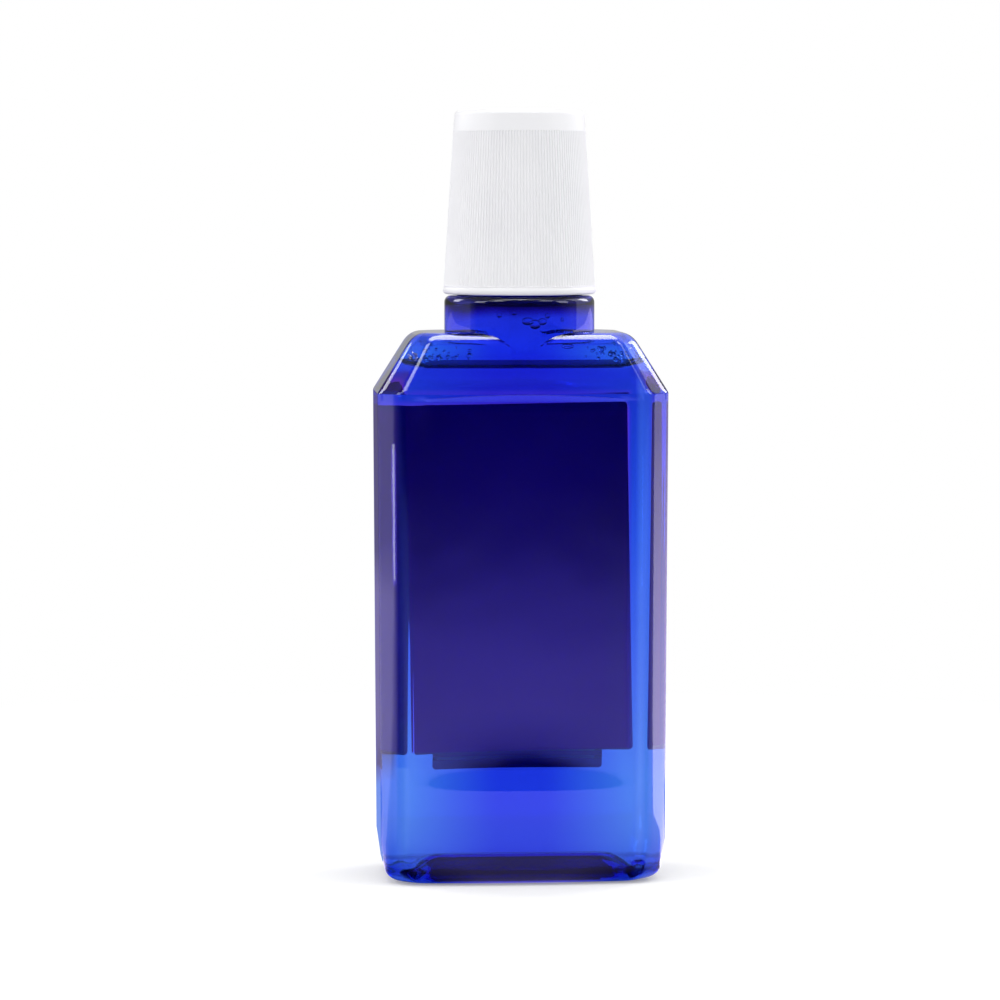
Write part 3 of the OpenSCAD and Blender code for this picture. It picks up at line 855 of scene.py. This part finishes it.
def liner_foam():
    p = material("liner_foam")
    cells = p.node("ShaderNodeTexVoronoi", None,
                   {"Vector": p.node("ShaderNodeTexCoord", out="Object"), "Scale": 1 / (0.25 * MM)})
    tint = p.blend(cells, rgb(0.78, 0.78, 0.76), rgb(0.88, 0.88, 0.86))
    return p.surface({"Base Color": tint, "Roughness": 0.75, "Normal": p.bump(cells, 0.4, 0.05)})


def printed_label():
    """Coated paper: its outer side has plain printed bands, its glued side is dark through the bottle."""
    p = material("printed_label")
    outer = p.place("Y") > PANEL_Y + 0.06
    z = p.place("Z")
    fleck = p.mottle(0.5, 3.0)
    navy = p.blend(fleck, rgb(0.010, 0.022, 0.17), rgb(0.014, 0.03, 0.20))
    white = p.blend(fleck, rgb(0.78, 0.79, 0.80), rgb(0.83, 0.84, 0.85))
    pale = p.blend(fleck, rgb(0.10, 0.36, 0.74), rgb(0.13, 0.40, 0.78))

    def band(low, high):
        return (z > low) * (z < high)

    front = navy
    for low, high, colour in ((40, 58, white), (58, 60.5, pale), (98.5, 99.5, pale), (96.5, 97.2, white),
                              (36.8, 37.5, white)):
        front = p.blend(band(low, high), front, colour)
    fold = p.mottle(11, 2.0)
    back = p.ramp(z / 110, [(30 / 110, rgb(0.60, 0.08, 0.90)), (78 / 110, rgb(0.84, 0.10, 1.0)),
                            (104 / 110, rgb(0.80, 0.10, 0.92))])
    back = p.blend(fold * 0.25, back, rgb(0.6, 0.07, 0.8))
    return p.surface({"Base Color": p.blend(outer, back, front), "Roughness": 0.32 + 0.15 * fold,
                      "Coat Weight": outer * 0.35, "Coat Roughness": 0.12,
                      "Normal": p.bump(p.mottle(6, 3.0), 0.08, 0.1)})


def printed_sticker():
    p = material("printed_sticker")
    x, z = p.place("X"), p.place("Z")
    fleck = p.mottle(0.5, 3.0)
    border = ((abs(x) > 18.2) + (z > 39.3) + (z < 24.4)).clamped()
    lined = ((abs(x) < 15.5) * (z > 26.5) * (z < 37.6)).clamped()
    face = p.blend(fleck, rgb(0.70, 0.72, 0.78), rgb(0.76, 0.78, 0.83))
    face = p.blend(lined, face, rgb(0.82, 0.83, 0.86))
    face = p.blend(border, face, rgb(0.04, 0.07, 0.30))
    ledge = fall(z, PANEL_LOW, 10) * (10 * PANEL_DEPTH / LEDGE_LOW)
    outer = p.place("Y") - ledge > PANEL_Y + 0.03
    face = p.blend(outer, rgb(0.52, 0.085, 0.80), face)
    return p.surface({"Base Color": face, "Roughness": 0.4 + 0.12 * p.mottle(4, 2.0),
                      "Normal": p.bump(p.mottle(5, 3.0), 0.08, 0.1)})


# ---------------------------------------------------------------- pieces

def fit(piece, body, node, finish):
    piece.data.materials.clear()
    piece.data.materials.append(finish)
    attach(piece, body)
    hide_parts(node)


CAMERA_AWAY, CAMERA_H = 0.93, 0.154
CAMERA_ROUND, CAMERA_DOWN = math.radians(4.5), math.radians(4.17)
PICTURE_W, FOCAL, ASIDE = 1000, 4067, 19.3
SENSOR = 36

camera_data = bpy.data.cameras.new("camera")
camera = bpy.data.objects.new("camera", camera_data)
bpy.context.scene.collection.objects.link(camera)
bpy.context.scene.camera = camera
camera.location = (-CAMERA_AWAY * math.sin(CAMERA_ROUND), -CAMERA_AWAY * math.cos(CAMERA_ROUND), CAMERA_H)
camera.rotation_euler = (math.pi / 2 - CAMERA_DOWN, 0, math.atan(ASIDE / FOCAL) - CAMERA_ROUND)
camera_data.lens = SENSOR * FOCAL / PICTURE_W
camera_data.sensor_width = SENSOR
camera_data.clip_start, camera_data.clip_end = 0.05, 20

fit(blown_bottle(), "bottle", "bottle", clear_blue_pet())
fit(poured_liquid(), "bottle", "mouthwash", faint_blue_liquid())
fit(stuck_label(), "bottle", "main_label", printed_label())
fit(stuck_sticker(), "bottle", "lower_sticker", printed_sticker())

liquid_finish = bpy.data.materials["faint_blue_liquid"]
for small in (level_bubbles(), wall_drops()):
    small.data.materials.clear()
    small.data.materials.append(liquid_finish)
    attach(small, "bottle")

fit(moulded_cap(), "cap", "cap", white_polypropylene())
fit(foam_liner(), "liner", "cap_liner", liner_foam())


# ---------------------------------------------------------------- floor, lamps and world

def softbox(name, where, size, power, aim=(0, 0, 0.08)):
    lamp = bpy.data.lights.new(name, "AREA")
    lamp.shape = "RECTANGLE"
    lamp.size, lamp.size_y = size
    lamp.energy = power
    made = bpy.data.objects.new(name, lamp)
    bpy.context.scene.collection.objects.link(made)
    made.location = where
    away = made.location - type(made.location)(aim)
    made.rotation_euler = away.to_track_quat("Z", "Y").to_euler()


for name, where, size, power in (
        ("left_softbox", (-0.8, 0.5, 0.5), (0.3, 0.4), 2.0),
        ("right_softbox", (0.8, 0.5, 0.5), (0.3, 0.4), 2.4),
        ("top_softbox", (0.0, -0.25, 1.0), (0.9, 0.5), 2.2),
        ("left_front_softbox", (-0.85, -0.35, 0.45), (0.3, 0.5), 1.5),
        ("right_front_softbox", (0.85, -0.35, 0.45), (0.3, 0.5), 1.5)):
    softbox(name, where, size, power)
softbox("left_strip", (-0.67, -0.086, 0.034), (0.045, 0.05), 0.03, (0, 0, 0.05))

leave_edit()
FLOOR_W, FLOOR_DROP = 8, 0.0001
bpy.ops.mesh.primitive_plane_add(size=1, location=(0, 0, -FLOOR_DROP))
bpy.context.object.scale = (FLOOR_W, FLOOR_W, 1)
floor = begin("floor")
leave_edit()


FOOT_HALF = (0.033, 0.0195)


def side_light(east, north, left, right, edge):
    """Painted reflections: how bright the room mirrors to the sides, a soft sheet on the left, one with a sharp edge
    on the right.
    """
    past = 1 - 0.76 * north.clamped()
    on_left = left * (0.45 * rise(north, -0.3, 0.19) + 0.55 * rise(north, -0.108, 0.028))
    on_right = right * (0.2 * rise(north, -0.5, 0.4) + 0.8 * rise(north, edge, 0.02))
    return past * (on_left * (east < 0) + on_right * (east > 0))


def white_table():
    """White where the camera sees it, with a painted shadow under the bottle for rays through it, and a painted
    reflection, a soft lilac glow that only the bottle's mirrored rays see.
    """
    p = material("white_table")
    seen, through, mirror = p.ray_kinds()
    x, y = p.place("X") * MM, p.place("Y") * MM

    def root(value):
        return p.node("ShaderNodeMath", {"operation": "SQRT"}, {0: value})

    away = root(x * x + y * y)
    around = root(x * x * (1 / FOOT_HALF[0] ** 2) + y * y * (1 / FOOT_HALF[1] ** 2))
    east, north = x / away, y / away

    # Painted shadow: seen through the bottle the table is painted dark, and purple, beneath it, and dark before it
    open_table = 0.03 + 0.97 * rise(around, 0.9, 1.6)
    near_front = rise(y, -0.95, 0.5)
    under = through * fall(around, 1.6, 0.5)

    # Painted reflections: mirrored in the bottle the table glows lilac ahead and to the sides, dimmer close to the
    # bottle, and close behind it a painted blue-tinted shadow of light through the bottle
    ahead = p.node("ShaderNodeMath", {"operation": "EXPONENT"}, {0: away * -2.2}) * 1.05
    ahead = ahead * rise(away, -0.09, 0.29)
    left = 1.25 + 1.0 * fall(away, 0.88, 0.2) - 0.6 * fall(away, 0.3, 0.2)
    right = 2.3 + 2.3 * fall(away, 1.72, 1.5)
    beside = side_light(east, north, left, right, -0.065)
    beside = beside * (1 - 0.5 * (north > 0.8) * fall(away, 0.25, 0.2))
    painted_reflection_strength = ahead * rise(-north, 0.6, 0.3) + beside
    painted_reflection_strength = painted_reflection_strength * (1.25 + 0.85 * (north < -0.6))
    painted_reflection_colour = p.blend(north < -0.6, rgb(0.79, 0.71, 1.0), rgb(0.46, 0.38, 1.0))
    painted_reflection_colour = p.blend(rise(north, 0.8, 0.1), painted_reflection_colour, rgb(0.36, 0.31, 0.64))
    painted_blue_shadow_behind = (north > 0.5) * fall(away, 0.19, 0.04)
    painted_reflection_strength = painted_reflection_strength * (1 - painted_blue_shadow_behind) + painted_blue_shadow_behind
    painted_reflection_colour = p.blend(painted_blue_shadow_behind, painted_reflection_colour, rgb(0.23, 0.36, 0.85))
    painted_reflection_colour = p.blend(mirror, rgb(1, 1, 1), painted_reflection_colour)

    lit = p.node("ShaderNodeBsdfDiffuse", None, {"Color": rgb(0.8, 0.8, 0.8)})
    glow = p.node("ShaderNodeEmission", None,
                  {"Color": p.blend(under, painted_reflection_colour, rgb(0.5, 0.3, 1.0)),
                   "Strength": seen + through * open_table * near_front + mirror * painted_reflection_strength})
    part = p.node("ShaderNodeEmission", None, {"Color": rgb(1, 1, 1), "Strength": seen * 0.25})
    near = p.node("ShaderNodeAddShader", None, {0: lit, 1: part})
    plain = rise(away, 0.1, 0.25)
    shader = p.node("ShaderNodeMixShader", None, {0: (plain * seen + through + mirror).clamped(), 1: near, 2: glow})
    return p.finish("ShaderNodeOutputMaterial", {"Surface": shader})


floor.data.materials.append(white_table())


def studio_world():
    """White behind and around the bottle, a dim room behind the camera in reflections, soft light for the rest, with
    painted reflections and painted shade.
    """
    world = bpy.data.worlds.new("studio")
    bpy.context.scene.world = world
    p = Paint(world)
    seen, through, mirror = p.ray_kinds()
    direction = p.node("ShaderNodeTexCoord", out="Generated")
    x, y, z = (p.node("ShaderNodeSeparateXYZ", None, {0: direction}, out=axis) for axis in range(3))
    # Painted reflections: a faint patch behind, a bright patch overhead, patches at the upper front corners and
    # sheets to the sides, seen only by mirrored rays; they light nothing
    behind = fall(abs(x), 0.3, 0.1) * (y > 0)
    painted_overhead_glint = rise(z, 0.86, 0.06)
    painted_corner_glints = rise(z, 0.56, 0.06) * fall(z, 0.78, 0.06) * rise(-y, 0.38, 0.08) * rise(abs(x), 0.38, 0.08)
    lift = rise(z, 0.25, 0.2)
    painted_side_sheets = side_light(x, y, 0.5 - 0.2 * lift, 1.0 + 1.2 * lift, 0.06)
    # Painted shade: rays through the bottle see the room dimmer towards the front
    room = 0.2 + 0.8 * rise(y, -0.97, 0.3)
    other = 1 - (seen + through + mirror).clamped()
    strength = seen + through * room + mirror * (0.3 * behind + 9 * painted_overhead_glint + 7 * painted_corner_glints + painted_side_sheets) + other * 0.79
    glow = p.node("ShaderNodeBackground", None, {"Color": rgb(1, 1, 1), "Strength": strength})
    p.finish("ShaderNodeOutputWorld", {"Surface": glow})


studio_world()
bpy.context.scene.view_settings.view_transform = "Standard"
